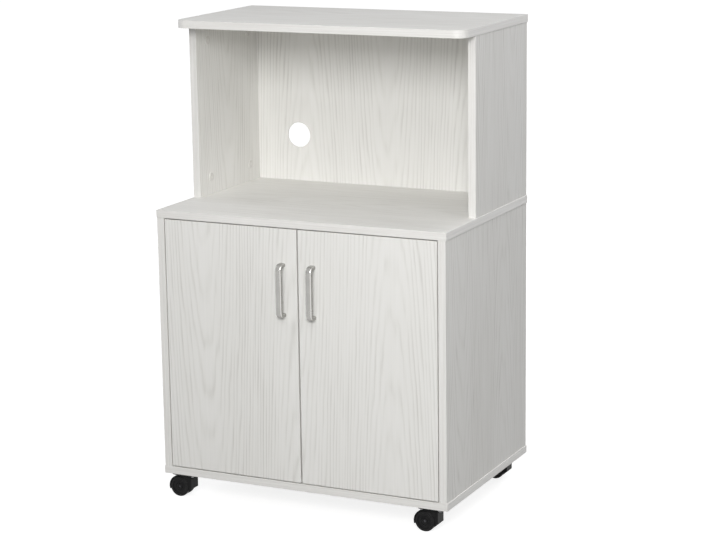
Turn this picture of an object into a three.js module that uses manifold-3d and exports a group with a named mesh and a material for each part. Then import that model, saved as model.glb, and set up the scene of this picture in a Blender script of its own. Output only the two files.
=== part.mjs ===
// Two-door microwave cart on four swivel casters, with an open bay on top.
// Millimetres, +Z up, front faces -Y. The origin is on the floor under the middle of the cart.
// Inside the cart's group x = 0 is its middle plane, y = 0 the cabinet's front edge and z = 0 the
// underside of its bottom board. The right side mirrors the left.

import * as THREE from 'three';
import { mergeVertices } from 'three/addons/utils/BufferGeometryUtils.js';
import Module from 'manifold-3d';

const wasm = await Module();
wasm.setup();

// ---- Driving dimensions -------------------------------------------------------------------

// Boards
const WIDTH = 604; // over the horizontal boards
const DEPTH = 403; // cabinet boards, front edge to rear edge
const BOARD = 15; // thickness of every melamine board
const CABINET_HEIGHT = 526; // underside of the bottom board to the face the microwave stands on
const HUTCH_HEIGHT = 354; // that face to the top of the cart
const SIDE_INSET = 1.5; // outer faces of the uprights, inside the ends of the boards
const REAR_INSET = 1.5; // rear edges of the uprights, inside the rear edge of the boards
const HUTCH_SETBACK = 143; // front edges of the hutch uprights, behind the cabinet's front
const TOP_SETBACK = 87; // front edge of the top board, behind the cabinet's front
const TOP_CORNER = 25; // radius of the top board's two front corners

// Thin back panels, which slide in grooves
const PANEL = 3; // thickness
const PANEL_INSET = 8; // rear face of a panel, inside the rear edge of the boards
const GROOVE = 5; // depth of the grooves
const CABLE_HOLE = 50; // diameter
const CABLE_HOLE_IN = 109; // its centre, from the left end of the boards
const CABLE_HOLE_UP = 94; // its centre, above the cabinet top

// Clearances
const SEAT = 0.3; // round a piece that sits in a hole, groove or bearing
const DOOR_GAP = 2; // beside, above and below each door
const MEETING_GAP = 3; // between the two doors

// Shelf in the cabinet, on four pins
const SHELF_SETBACK = 30; // its front edge, behind the cabinet's front
const SHELF_END_GAP = 1.5; // at each end
const SHELF_REAR_GAP = 2;
const SHELF_UP = 240; // its underside, above the bottom board's face
const SHELF_PIN_RADIUS = 2.5;
const SHELF_PIN_GRIP = 8; // length in the upright
const SHELF_PIN_REACH = 9; // length under the shelf
const SHELF_PIN_COLLAR = 4; // radius
const SHELF_PIN_COLLAR_THICKNESS = 1;
const SHELF_PIN_IN = 60; // from the shelf's front and rear edges
const SHELF_STEP = 50; // to the spare pin holes above and below

// Cam joints: each end of an upright has two bolts, their cover caps and a dowel
const CABINET_BOLT_IN = 37; // bolts, from the front and rear edges of the cabinet's uprights
const HUTCH_BOLT_FRONT_IN = 45; // front bolts, from the front edges of the hutch's uprights
const HUTCH_BOLT_REAR_IN = 50; // rear bolts, from their rear edges, clear of the cabinet's
const CAM_DISTANCE = 34; // cam centre to the end of the upright
const CAP_RADIUS = 8.5;
const CAP_THICKNESS = 1;
const BOLT_RADIUS = 3;
const BOLT_GRIP = 10; // thread in the board's face
const DOWEL_RADIUS = 4;
const DOWEL_GRIP = 9; // length in the board's face

// Bow handles
const HANDLE_CENTRES = 96; // between its two screws
const HANDLE_WIDTH = 12;
const HANDLE_GRIP = 7; // thickness of the grip
const HANDLE_LEG = 8; // thickness of the legs
const HANDLE_REACH = 20; // from the door's face
const HANDLE_BEND = 12; // outer radius of its bends
const HANDLE_CROWN = 1.8; // rounding of its edges across the grip
const HANDLE_CROWN_WIDTH = 3; // and along its width
const HANDLE_IN = 30; // its middle, from the door's free edge
const HANDLE_DROP = 117; // its middle, below the door's top edge
const HANDLE_TAP = 9; // depth of the screw holes in its legs

// Concealed cup hinges. In plan, u is inward from the door's outer edge, v back from its face.
const HINGE_END = 80; // middle of a hinge, from the door's upper and lower edges
const CUP_RADIUS = 17.5;
const CUP_WALL = 0.8;
const CUP_DEPTH = 11;
const CUP_IN = 22.5; // cup centre, from the door's outer edge
const FLANGE = 1; // thickness
const FLANGE_LENGTH = 60; // along the door
const FLANGE_REACH = 6; // past the screws
const FLANGE_SCREW_OUT = 9.5; // screws, past the cup centre
const FLANGE_SCREW_SPACING = 45;
const HINGE_PIN = 1.25; // radius
const HINGE_PIN_U = 3;
const HINGE_PIN_V = 19;
const LINK = 2; // thickness of the link in plan
const LINK_EYE = 2.3; // radius
const LINK_WIDTH = 9; // along the door
const ARM_STEEL = 1.2;
const ARM_LENGTH = 52;
const ARM_NOSE = 7.3; // over the upright's face, at the pin
const ARM_HEIGHT = 10; // over the upright's face, at the rear
const MOUNT_PLATE = 2; // thickness
const MOUNT_PLATE_LENGTH = 46; // along the door
const MOUNT_PLATE_DEPTH = 18;
const MOUNT_PLATE_V = 52; // its centre
const MOUNT_SCREW_SPACING = 32;

// Twin-wheel casters
const CASTER_HEIGHT = 50;
const CASTER_SIDE_IN = 38; // swivel axis, from the end of the bottom board
const CASTER_EDGE_IN = 28; // swivel axis, from the board's front and rear edges
const PLATE_SIZE = 50;
const PLATE = 2.5; // thickness
const PLATE_CORNER = 5; // radius
const PLATE_SCREW_IN = 6.5; // screws, from the plate's edges
const BOSS_RADIUS = 11;
const BOSS_HEIGHT = 4.5;
const STEM_RADIUS = 3;
const STEM_LENGTH = 14;
const WHEEL_RADIUS = 20;
const WHEEL_THICKNESS = 8.5;
const WHEEL_EDGE = 1.5; // bevel of the tread
const WHEEL_DISH = 1.6; // depth of the dished outer face
const WHEEL_RIM = 5; // rim round the dish
const WHEEL_HUB = 5.5; // radius
const WHEEL_TRAIL = 15; // axle behind the swivel axis
const WHEEL_GAP = 0.5; // between a wheel and the web
const AXLE_RADIUS = 2.5;
const WEB = 9; // thickness of the hood's web, between the wheels
const HOOD_SKIN = 1.6; // over the wheels
const HOOD_GAP = 0.9; // between tread and hood
const HOOD_NOSE = 12; // from the swivel axis to the hood's straight end
const HOOD_ROUND = 6; // radius of its upper corner
const HOOD_SKIRT = 3; // lower corner of the straight end, below the axle
const HOOD_SLANT = 10; // rise of the slanted edge from the web to that corner
const HOOD_WRAP = 17; // degrees that the hood reaches round the wheels below the axle

// Screws
const CHIP_SCREW = { radius: 1.75, head: 3.6, headHeight: 2.2, length: 12 };
const HANDLE_SCREW = { radius: 2, head: 4, headHeight: 2.4, length: 22 };

// Facets of round pieces
const SCREW_SIDES = 6;
const ROUND_SIDES = 12;
const CUP_SIDES = 20;
const WHEEL_SIDES = 20;
const CABLE_SIDES = 40;

// ---- Levels and planes that follow from them ------------------------------------------------

const HALF_WIDTH = WIDTH / 2;
const OUTER_X = HALF_WIDTH - SIDE_INSET; // outer face of an upright
const INNER_X = OUTER_X - BOARD; // inner face of an upright
const MID_X = (OUTER_X + INNER_X) / 2;
const UPRIGHT_REAR = DEPTH - REAR_INSET;
const PANEL_REAR = DEPTH - PANEL_INSET;
const PANEL_FRONT = PANEL_REAR - PANEL;
const LOWER_FACE = BOARD; // upper face of the bottom board
const CABINET_UNDER = CABINET_HEIGHT - BOARD; // underside of the cabinet top
const TOP = CABINET_HEIGHT + HUTCH_HEIGHT;
const TOP_UNDER = TOP - BOARD;

const DOOR_OUTER_X = -INNER_X + DOOR_GAP; // left door
const DOOR_FREE_X = -MEETING_GAP / 2;
const DOOR_LOW = LOWER_FACE + DOOR_GAP;
const DOOR_HIGH = CABINET_UNDER - DOOR_GAP;
const HANDLE_X = DOOR_FREE_X - HANDLE_IN;
const HANDLE_Z = DOOR_HIGH - HANDLE_DROP;
const HANDLE_SCREW_Z = {
  lower: HANDLE_Z - HANDLE_CENTRES / 2,
  upper: HANDLE_Z + HANDLE_CENTRES / 2,
};
const CUP_X = DOOR_OUTER_X + CUP_IN;
const FLANGE_SCREW_X = CUP_X + FLANGE_SCREW_OUT;
const HINGE_PIN_X = DOOR_OUTER_X + HINGE_PIN_U;
const HINGE_LEVELS = { lower: DOOR_LOW + HINGE_END, upper: DOOR_HIGH - HINGE_END };

const SHELF_UNDER = LOWER_FACE + SHELF_UP;
const SHELF_REAR = PANEL_FRONT - SHELF_REAR_GAP;
const SHELF_PIN_Z = SHELF_UNDER - SEAT - SHELF_PIN_RADIUS;
const SHELF_PIN_Y = { front: SHELF_SETBACK + SHELF_PIN_IN, rear: SHELF_REAR - SHELF_PIN_IN };

// Casters: the swivel axis is x = y = 0, the plate's top z = 0, and the wheels trail to -x
const AXLE_Z = WHEEL_RADIUS - CASTER_HEIGHT;
const HOOD_TOP = -PLATE - BOSS_HEIGHT - SEAT;
const WHEEL_FACE = WEB / 2 + WHEEL_GAP; // inner face of a wheel
const HOOD_HALF = WHEEL_FACE + WHEEL_THICKNESS;

// The handles reach in front of the doors, and the origin is under the middle of everything.
const FRONT_Y = (HANDLE_REACH - DEPTH) / 2;

// ---- Solids ---------------------------------------------------------------------------------

/** Positions only, with shared corners merged and triangles of no area left out. */
function bare(geometry) {
  const copy = geometry.clone();
  for (const name of Object.keys(copy.attributes)) {
    if (name !== 'position') copy.deleteAttribute(name);
  }
  const merged = mergeVertices(copy, 1e-4);
  const corners = [];
  for (let i = 0; i < merged.index.count; i += 3) {
    const [a, b, c] = [0, 1, 2].map((k) => merged.index.getX(i + k));
    if (a !== b && b !== c && c !== a) corners.push(a, b, c);
  }
  merged.setIndex(corners);
  merged.clearGroups();
  return merged;
}

function toSolid(geometry) {
  const mesh = bare(geometry);
  return new wasm.Manifold(new wasm.Mesh({
    numProp: 3,
    vertProperties: new Float32Array(mesh.attributes.position.array),
    triVerts: new Uint32Array(mesh.index.array),
  }));
}

/** One solid: the pieces joined, then the cutters taken away. */
function shaped(pieces, cutters = []) {
  let solid = toSolid(pieces[0]);
  for (const piece of pieces.slice(1)) solid = solid.add(toSolid(piece));
  for (const cutter of cutters) solid = solid.subtract(toSolid(cutter));
  const mesh = solid.getMesh();
  const geometry = new THREE.BufferGeometry();
  geometry.setAttribute('position', new THREE.BufferAttribute(mesh.vertProperties, 3));
  geometry.setIndex(new THREE.BufferAttribute(mesh.triVerts, 1));
  return geometry;
}

/** The same piece on the other side of the cart's middle plane. */
function mirrored(geometry) {
  const copy = bare(geometry);
  copy.scale(-1, 1, 1);
  const corners = Array.from(copy.index.array);
  for (let i = 0; i < corners.length; i += 3) {
    [corners[i], corners[i + 1]] = [corners[i + 1], corners[i]];
  }
  copy.setIndex(corners);
  return copy;
}

function box(low, high) {
  const size = high.map((value, i) => value - low[i]);
  const middle = high.map((value, i) => (value + low[i]) / 2);
  return new THREE.BoxGeometry(...size).translate(...middle);
}

/** Turns a geometry that was made along +Y to lie along the axis. */
function aimed(geometry, axis) {
  if (axis === 'x') return geometry.rotateZ(-Math.PI / 2);
  if (axis === 'z') return geometry.rotateX(Math.PI / 2);
  return geometry;
}

/** The point at a distance along an axis, with its other two coordinates in `across`. */
function pointOn(axis, distance, across) {
  const point = [...across];
  point.splice('xyz'.indexOf(axis), 0, distance);
  return point;
}

/** A round rod or hole between two planes across an axis. */
function rod(axis, radius, from, to, across, sides = SCREW_SIDES) {
  const upright = new THREE.CylinderGeometry(radius, radius, Math.abs(to - from), sides);
  return aimed(upright, axis).translate(...pointOn(axis, (from + to) / 2, across));
}

/** A turned piece from [radius, distance] pairs; `way` is -1 where it points back along the axis. */
function turned(profile, axis, way, origin, across, sides = SCREW_SIDES, phase = 0) {
  const ordered = way > 0 ? profile : profile.map(([r, d]) => [r, -d]).reverse();
  const points = ordered.map(([r, d]) => new THREE.Vector2(r, d));
  const lathe = new THREE.LatheGeometry(points, sides, phase);
  return aimed(lathe, axis).translate(...pointOn(axis, origin, across));
}

/** An outline in x and y, made solid between two levels. */
function slab(shape, low, high, curveSegments = 6) {
  const options = { depth: high - low, bevelEnabled: false, curveSegments };
  return new THREE.ExtrudeGeometry(shape, options).translate(0, 0, low);
}

/** The outline of a strip of even width along a line of points. */
function strip(points, width) {
  const near = [];
  const far = [];
  points.forEach((point, i) => {
    const back = point.clone().sub(points[Math.max(i - 1, 0)]).normalize();
    const ahead = points[Math.min(i + 1, points.length - 1)].clone().sub(point).normalize();
    const run = back.clone().add(ahead).normalize();
    const lean = Math.max(run.dot(back), run.dot(ahead));
    const side = new THREE.Vector2(-run.y, run.x).multiplyScalar(width / 2 / lean);
    near.push(point.clone().add(side));
    far.unshift(point.clone().sub(side));
  });
  return new THREE.Shape([...near, ...far]);
}

/** A pan-head screw, its head standing on the plane `seat`, pointing along +axis or -axis. */
function screw(size, axis, way, seat, across) {
  return turned([
    [0, -size.headHeight],
    [size.head - size.headHeight / 2, -size.headHeight],
    [size.head, 0],
    [size.radius, 0],
    [size.radius, size.length - size.radius],
    [0, size.length],
  ], axis, way, seat, across);
}

/** The hole for a screw between two planes. */
function screwHole(size, axis, from, to, across) {
  return rod(axis, size.radius + SEAT, from, to, across);
}

// ---- Joints between uprights and boards -----------------------------------------------------

/** Where an upright meets a board: `z` is the level, `up` is +1 at the upright's upper end. */
function joint(bolts, dowel, z, up) {
  return { bolts, dowel, z, up };
}

const cabinetBolts = [CABINET_BOLT_IN, UPRIGHT_REAR - CABINET_BOLT_IN];
const hutchBolts = [HUTCH_SETBACK + HUTCH_BOLT_FRONT_IN, UPRIGHT_REAR - HUTCH_BOLT_REAR_IN];
const cabinetDowel = UPRIGHT_REAR / 2;
const hutchDowel = (HUTCH_SETBACK + UPRIGHT_REAR) / 2;
const bottomJoint = joint(cabinetBolts, cabinetDowel, LOWER_FACE, -1);
const deckJoint = joint(cabinetBolts, cabinetDowel, CABINET_UNDER, 1);
const bayJoint = joint(hutchBolts, hutchDowel, CABINET_HEIGHT, -1);
const topJoint = joint(hutchBolts, hutchDowel, TOP_UNDER, 1);

/** The fittings that a left upright carries at one end: bolts, their caps and a dowel. */
function fittings({ bolts, dowel, z, up }) {
  const cam = z - up * CAM_DISTANCE;
  return [
    ...bolts.map((y) => rod('z', BOLT_RADIUS, cam, z + up * BOLT_GRIP, [-MID_X, y])),
    ...bolts.map((y) => rod(
      'x', CAP_RADIUS, -MID_X, -INNER_X + CAP_THICKNESS, [y, cam], ROUND_SIDES,
    )),
    rod('z', DOWEL_RADIUS, z - up * DOWEL_GRIP, z + up * DOWEL_GRIP, [-MID_X, dowel]),
  ];
}

/** The holes for them in the board, at both ends of the board. */
function fittingHoles({ bolts, dowel, z, up }) {
  return [-MID_X, MID_X].flatMap((x) => [
    ...bolts.map((y) => rod(
      'z', BOLT_RADIUS + SEAT, z - up, z + up * (BOLT_GRIP + SEAT), [x, y],
    )),
    rod('z', DOWEL_RADIUS + SEAT, z - up, z + up * (DOWEL_GRIP + SEAT), [x, dowel]),
  ]);
}

/** Groove for a back panel in the face of a board; `up` is +1 where it is cut upward. */
function boardGroove(face, up) {
  const reach = INNER_X + GROOVE;
  const levels = [face - up, face + up * GROOVE].sort((a, b) => a - b);
  return box([-reach, PANEL_FRONT - SEAT, levels[0]], [reach, PANEL_REAR + SEAT, levels[1]]);
}

/** Groove down the whole inner face of a left upright. */
function uprightGroove(low, high) {
  return box(
    [-INNER_X - GROOVE, PANEL_FRONT - SEAT, low - 1],
    [-INNER_X + 1, PANEL_REAR + SEAT, high + 1],
  );
}

// ---- Boards ---------------------------------------------------------------------------------

function cabinetUpright() {
  const blank = box([-OUTER_X, 0, LOWER_FACE], [-INNER_X, UPRIGHT_REAR, CABINET_UNDER]);
  const pinHoles = Object.values(SHELF_PIN_Y).flatMap((y) => [-1, 0, 1].map((step) => rod(
    'x', SHELF_PIN_RADIUS + SEAT, -INNER_X - SHELF_PIN_GRIP - SEAT, -INNER_X + 1,
    [y, SHELF_PIN_Z + step * SHELF_STEP],
  )));
  const tip = -INNER_X - CHIP_SCREW.length + MOUNT_PLATE - SEAT;
  const hingeHoles = Object.values(HINGE_LEVELS).flatMap(mountScrews).map(
    (place) => screwHole(CHIP_SCREW, 'x', tip, -INNER_X + 1, place),
  );
  return shaped(
    [blank, ...fittings(bottomJoint), ...fittings(deckJoint)],
    [uprightGroove(LOWER_FACE, CABINET_UNDER), ...pinHoles, ...hingeHoles],
  );
}

function hutchUpright() {
  const blank = box([-OUTER_X, HUTCH_SETBACK, CABINET_HEIGHT], [-INNER_X, UPRIGHT_REAR, TOP_UNDER]);
  return shaped(
    [blank, ...fittings(bayJoint), ...fittings(topJoint)],
    [uprightGroove(CABINET_HEIGHT, TOP_UNDER)],
  );
}

function bottomBoard() {
  const tip = CHIP_SCREW.length - PLATE + SEAT;
  const casterHoles = CASTERS.flatMap(({ x, y }) => plateScrews().map(
    ([across, along]) => screwHole(CHIP_SCREW, 'z', -1, tip, [x + across, y + along]),
  ));
  return shaped(
    [box([-HALF_WIDTH, 0, 0], [HALF_WIDTH, DEPTH, BOARD])],
    [boardGroove(LOWER_FACE, -1), ...fittingHoles(bottomJoint), ...casterHoles],
  );
}

function cabinetTop() {
  return shaped(
    [box([-HALF_WIDTH, 0, CABINET_UNDER], [HALF_WIDTH, DEPTH, CABINET_HEIGHT])],
    [
      boardGroove(CABINET_UNDER, 1),
      boardGroove(CABINET_HEIGHT, -1),
      ...fittingHoles(deckJoint),
      ...fittingHoles(bayJoint),
    ],
  );
}

function topBoard() {
  const outline = new THREE.Shape();
  const corner = HALF_WIDTH - TOP_CORNER;
  const cornerY = TOP_SETBACK + TOP_CORNER;
  outline.moveTo(-HALF_WIDTH, DEPTH);
  outline.lineTo(-HALF_WIDTH, cornerY);
  outline.absarc(-corner, cornerY, TOP_CORNER, Math.PI, Math.PI * 1.5);
  outline.absarc(corner, cornerY, TOP_CORNER, Math.PI * 1.5, Math.PI * 2);
  outline.lineTo(HALF_WIDTH, DEPTH);
  return shaped(
    [slab(outline, TOP_UNDER, TOP)],
    [boardGroove(TOP_UNDER, 1), ...fittingHoles(topJoint)],
  );
}

/** A thin panel between two boards, seated in the grooves round it. */
function backPanel(lowFace, highFace) {
  const edge = GROOVE - SEAT;
  return box(
    [-INNER_X - edge, PANEL_FRONT, lowFace - edge],
    [INNER_X + edge, PANEL_REAR, highFace + edge],
  );
}

function hutchBack() {
  const centre = [-HALF_WIDTH + CABLE_HOLE_IN, CABINET_HEIGHT + CABLE_HOLE_UP];
  const hole = rod('y', CABLE_HOLE / 2, PANEL_FRONT - 1, PANEL_REAR + 1, centre, CABLE_SIDES);
  return shaped([backPanel(CABINET_HEIGHT, TOP_UNDER)], [hole]);
}

function shelf() {
  const reach = INNER_X - SHELF_END_GAP;
  return box([-reach, SHELF_SETBACK, SHELF_UNDER], [reach, SHELF_REAR, SHELF_UNDER + BOARD]);
}

function shelfPin(y) {
  return turned([
    [0, -SHELF_PIN_GRIP],
    [SHELF_PIN_RADIUS, -SHELF_PIN_GRIP],
    [SHELF_PIN_RADIUS, 0],
    [SHELF_PIN_COLLAR, 0],
    [SHELF_PIN_COLLAR, SHELF_PIN_COLLAR_THICKNESS],
    [SHELF_PIN_RADIUS, SHELF_PIN_COLLAR_THICKNESS],
    [SHELF_PIN_RADIUS, SHELF_PIN_REACH],
    [0, SHELF_PIN_REACH],
  ], 'x', 1, -INNER_X, [y, SHELF_PIN_Z]);
}

// ---- Doors and handles ----------------------------------------------------------------------

function door() {
  const handleHoles = Object.values(HANDLE_SCREW_Z).map(
    (z) => screwHole(HANDLE_SCREW, 'y', -1, BOARD + 1, [HANDLE_X, z]),
  );
  const levels = Object.values(HINGE_LEVELS);
  const cups = levels.map((z) => rod(
    'y', CUP_RADIUS + SEAT, BOARD - CUP_DEPTH - SEAT, BOARD + 1, [CUP_X, z], CUP_SIDES,
  ));
  const tip = BOARD + FLANGE - CHIP_SCREW.length - SEAT;
  const flangeHoles = levels.flatMap(flangeScrews).map(
    (place) => screwHole(CHIP_SCREW, 'y', tip, BOARD + 1, place),
  );
  return shaped(
    [box([DOOR_OUTER_X, 0, DOOR_LOW], [DOOR_FREE_X, BOARD, DOOR_HIGH])],
    [...handleHoles, ...cups, ...flangeHoles],
  );
}

/** Side view of the bow: x is 0 at the door and negative in front of it, y is up. */
function handleOutline() {
  const outer = (HANDLE_CENTRES + HANDLE_LEG) / 2;
  const inner = (HANDLE_CENTRES - HANDLE_LEG) / 2;
  const inside = HANDLE_REACH - HANDLE_GRIP;
  const bend = HANDLE_BEND;
  const innerBend = HANDLE_BEND - HANDLE_LEG;
  const shape = new THREE.Shape();
  shape.moveTo(0, outer);
  shape.lineTo(bend - HANDLE_REACH, outer);
  shape.absarc(bend - HANDLE_REACH, outer - bend, bend, Math.PI / 2, Math.PI);
  shape.absarc(bend - HANDLE_REACH, bend - outer, bend, Math.PI, Math.PI * 1.5);
  shape.lineTo(0, -outer);
  shape.lineTo(0, -inner);
  shape.absarc(innerBend - inside, innerBend - inner, innerBend, Math.PI * 1.5, Math.PI, true);
  shape.absarc(innerBend - inside, inner - innerBend, innerBend, Math.PI, Math.PI / 2, true);
  shape.lineTo(0, inner);
  return shape;
}

function handle() {
  const depth = HANDLE_WIDTH - 2 * HANDLE_CROWN_WIDTH;
  const bow = new THREE.ExtrudeGeometry(handleOutline(), {
    depth,
    bevelThickness: HANDLE_CROWN_WIDTH,
    bevelSize: HANDLE_CROWN,
    bevelOffset: -HANDLE_CROWN,
    bevelSegments: 2,
    curveSegments: 3,
  });
  bow.translate(0, 0, -depth / 2);
  // the side view's x, y and depth become y, z and x
  const side = [new THREE.Vector3(0, 1, 0), new THREE.Vector3(0, 0, 1), new THREE.Vector3(1, 0, 0)];
  bow.applyMatrix4(new THREE.Matrix4().makeBasis(...side));
  bow.translate(HANDLE_X, 0, HANDLE_Z);
  const taps = Object.values(HANDLE_SCREW_Z).map(
    (z) => screwHole(HANDLE_SCREW, 'y', -HANDLE_TAP, 1, [HANDLE_X, z]),
  );
  return shaped([bow], taps);
}

// ---- Hinges ---------------------------------------------------------------------------------

/** x and z of the two screws of a cup's flange. */
function flangeScrews(level) {
  return [-1, 1].map((way) => [FLANGE_SCREW_X, level + way * FLANGE_SCREW_SPACING / 2]);
}

/** y and z of the two screws of a mounting plate. */
function mountScrews(level) {
  return [-1, 1].map((way) => [MOUNT_PLATE_V, level + way * MOUNT_SCREW_SPACING / 2]);
}

/** The pressed cup in the door's back, with its flange and screws. */
function hingeCup(level) {
  const inside = CUP_RADIUS - CUP_WALL;
  const bottom = BOARD - CUP_DEPTH;
  const face = BOARD + FLANGE;
  const cup = turned([
    [0, bottom],
    [CUP_RADIUS, bottom],
    [CUP_RADIUS, face],
    [inside, face],
    [inside, bottom + CUP_WALL],
    [0, bottom + CUP_WALL],
  ], 'y', 1, 0, [CUP_X, level], CUP_SIDES);
  const flange = box(
    [CUP_X, BOARD, level - FLANGE_LENGTH / 2],
    [FLANGE_SCREW_X + FLANGE_REACH, face, level + FLANGE_LENGTH / 2],
  );
  const mouth = rod('y', inside + CUP_WALL / 2, BOARD - 1, face + 1, [CUP_X, level], CUP_SIDES);
  const screws = flangeScrews(level).map((place) => screw(CHIP_SCREW, 'y', -1, face, place));
  return shaped([shaped([flange], [mouth]), cup, ...screws]);
}

/** The gooseneck link, in plan: round the arm's pin, over the cup's rim and down into the cup. */
function hingeLink(level) {
  const path = [[0, 0], [7, 3.2], [26, 4], [32.4, 1], [32.8, -5], [30.8, -11.2]];
  const points = path.map(([u, v]) => new THREE.Vector2(HINGE_PIN_X + u, HINGE_PIN_V + v));
  const line = new THREE.SplineCurve(points).getPoints(2 * path.length);
  const low = level - LINK_WIDTH / 2;
  const high = level + LINK_WIDTH / 2;
  const pin = [HINGE_PIN_X, HINGE_PIN_V];
  const eyes = [pin, points.at(-1).toArray()];
  return shaped(
    [
      slab(strip(line, LINK), low, high),
      ...eyes.map((place) => rod('z', LINK_EYE, low, high, place, ROUND_SIDES)),
    ],
    eyes.map((place) => rod('z', HINGE_PIN + SEAT, low - 1, high + 1, place, ROUND_SIDES)),
  );
}

/** The fixed arm: a channel whose cheeks hold the link's pin, on a plate with two screws. */
function hingeArm(level) {
  const face = -INNER_X;
  const front = HINGE_PIN_V - LINK_EYE;
  const rear = front + ARM_LENGTH;
  const slope = HINGE_PIN_V + LINK_EYE;
  const shoulder = slope + ARM_HEIGHT;
  const cheek = new THREE.Shape([
    [0, front],
    [ARM_NOSE, front],
    [ARM_NOSE, slope],
    [ARM_HEIGHT, shoulder],
    [ARM_HEIGHT, rear],
    [0, rear],
  ].map(([x, y]) => new THREE.Vector2(face + x, y)));
  const inside = LINK_WIDTH / 2 + SEAT;
  const outside = inside + ARM_STEEL;
  const plateHalf = MOUNT_PLATE_DEPTH / 2;
  const channel = [
    slab(cheek, level + inside, level + outside),
    slab(cheek, level - outside, level - inside),
    box([face, front, level - outside], [face + ARM_STEEL, rear, level + outside]),
    box(
      [face + ARM_HEIGHT - ARM_STEEL, shoulder, level - outside],
      [face + ARM_HEIGHT, rear, level + outside],
    ),
  ];
  const plate = box(
    [face, MOUNT_PLATE_V - plateHalf, level - MOUNT_PLATE_LENGTH / 2],
    [face + MOUNT_PLATE, MOUNT_PLATE_V + plateHalf, level + MOUNT_PLATE_LENGTH / 2],
  );
  const pinPlace = [HINGE_PIN_X, HINGE_PIN_V];
  const pin = rod('z', HINGE_PIN, level - outside, level + outside, pinPlace);
  const screws = mountScrews(level).map(
    (place) => screw(CHIP_SCREW, 'x', -1, face + MOUNT_PLATE, place),
  );
  return shaped([...channel, plate, pin, ...screws]);
}

// ---- Casters --------------------------------------------------------------------------------

const CASTERS = ['front', 'rear'].flatMap((end) => ['left', 'right'].map((side) => ({
  name: `caster_${end}_${side}`,
  x: (side === 'left' ? -1 : 1) * (HALF_WIDTH - CASTER_SIDE_IN),
  y: end === 'front' ? CASTER_EDGE_IN : DEPTH - CASTER_EDGE_IN,
})));

/** x and y of a plate's four screws, from the swivel axis. */
function plateScrews() {
  const out = PLATE_SIZE / 2 - PLATE_SCREW_IN;
  return [[-out, -out], [out, -out], [-out, out], [out, out]];
}

/** The plate under the bottom board, with its boss, swivel stem and screws. */
function casterMount() {
  const straight = PLATE_SIZE / 2 - PLATE_CORNER;
  const outline = new THREE.Shape();
  [[1, 1], [-1, 1], [-1, -1], [1, -1]].forEach(([right, back], i) => {
    const from = i * Math.PI / 2;
    outline.absarc(right * straight, back * straight, PLATE_CORNER, from, from + Math.PI / 2);
  });
  return shaped([
    slab(outline, -PLATE, 0, 3),
    rod('z', BOSS_RADIUS, -PLATE / 2, HOOD_TOP + SEAT, [0, 0], ROUND_SIDES),
    rod('z', STEM_RADIUS, -PLATE / 2, HOOD_TOP - STEM_LENGTH, [0, 0], ROUND_SIDES),
    ...plateScrews().map((place) => screw(CHIP_SCREW, 'z', 1, -PLATE, place)),
  ]);
}

/** Side view of the hood about its axle: round over the wheels, straight at the swivel end. */
function hoodOutline() {
  const radius = WHEEL_RADIUS + HOOD_GAP + HOOD_SKIN;
  const top = HOOD_TOP - AXLE_Z;
  const nose = WHEEL_TRAIL + HOOD_NOSE;
  const wrap = THREE.MathUtils.degToRad(HOOD_WRAP);
  const shape = new THREE.Shape();
  shape.moveTo(nose, -HOOD_SKIRT);
  shape.lineTo(nose, top - HOOD_ROUND);
  shape.quadraticCurveTo(nose, top, nose - HOOD_ROUND, top);
  shape.lineTo(WHEEL_TRAIL - BOSS_RADIUS / 2, top);
  shape.absarc(0, 0, radius, Math.PI / 2, Math.PI + wrap);
  shape.lineTo(-radius / 2, -2 * AXLE_RADIUS);
  shape.quadraticCurveTo(0, -4 * AXLE_RADIUS, radius / 2, -HOOD_SKIRT - HOOD_SLANT);
  return shape;
}

function casterHood() {
  // the outline's x and y become x and z
  const blank = slab(hoodOutline(), -HOOD_HALF, HOOD_HALF, 7).rotateX(Math.PI / 2);
  blank.translate(-WHEEL_TRAIL, 0, AXLE_Z);
  const axle = [-WHEEL_TRAIL, AXLE_Z];
  const room = WHEEL_RADIUS + HOOD_GAP;
  const socket = HOOD_TOP - STEM_LENGTH - SEAT;
  return shaped([blank], [
    rod('y', room, WEB / 2, HOOD_HALF + 1, axle, WHEEL_SIDES),
    rod('y', room, -WEB / 2, -HOOD_HALF - 1, axle, WHEEL_SIDES),
    rod('y', AXLE_RADIUS + SEAT, -HOOD_HALF, HOOD_HALF, axle, ROUND_SIDES),
    rod('z', STEM_RADIUS + SEAT, socket, HOOD_TOP + 1, [0, 0], ROUND_SIDES),
  ]);
}

function casterAxle() {
  const end = HOOD_HALF - WHEEL_DISH;
  return rod('y', AXLE_RADIUS, -end, end, [-WHEEL_TRAIL, AXLE_Z], ROUND_SIDES);
}

/** A wheel with a dished outer face and a hub; `way` is 1 for the rear one. A facet is down. */
function casterWheel(way) {
  const halfFacet = Math.PI / WHEEL_SIDES;
  const tread = WHEEL_RADIUS / Math.cos(halfFacet);
  const bore = AXLE_RADIUS + SEAT;
  const dish = WHEEL_THICKNESS - WHEEL_DISH;
  return turned([
    [bore, 0],
    [tread - WHEEL_EDGE, 0],
    [tread, WHEEL_EDGE],
    [tread, WHEEL_THICKNESS - WHEEL_EDGE],
    [tread - WHEEL_EDGE, WHEEL_THICKNESS],
    [tread - WHEEL_RIM, WHEEL_THICKNESS],
    [tread - WHEEL_RIM - WHEEL_DISH, dish],
    [WHEEL_HUB, dish],
    [WHEEL_HUB, WHEEL_THICKNESS],
    [bore, WHEEL_THICKNESS],
    [bore, 0],
  ], 'y', way, way * WHEEL_FACE, [-WHEEL_TRAIL, AXLE_Z], WHEEL_SIDES, halfFacet);
}

// ---- The cart -------------------------------------------------------------------------------

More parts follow.
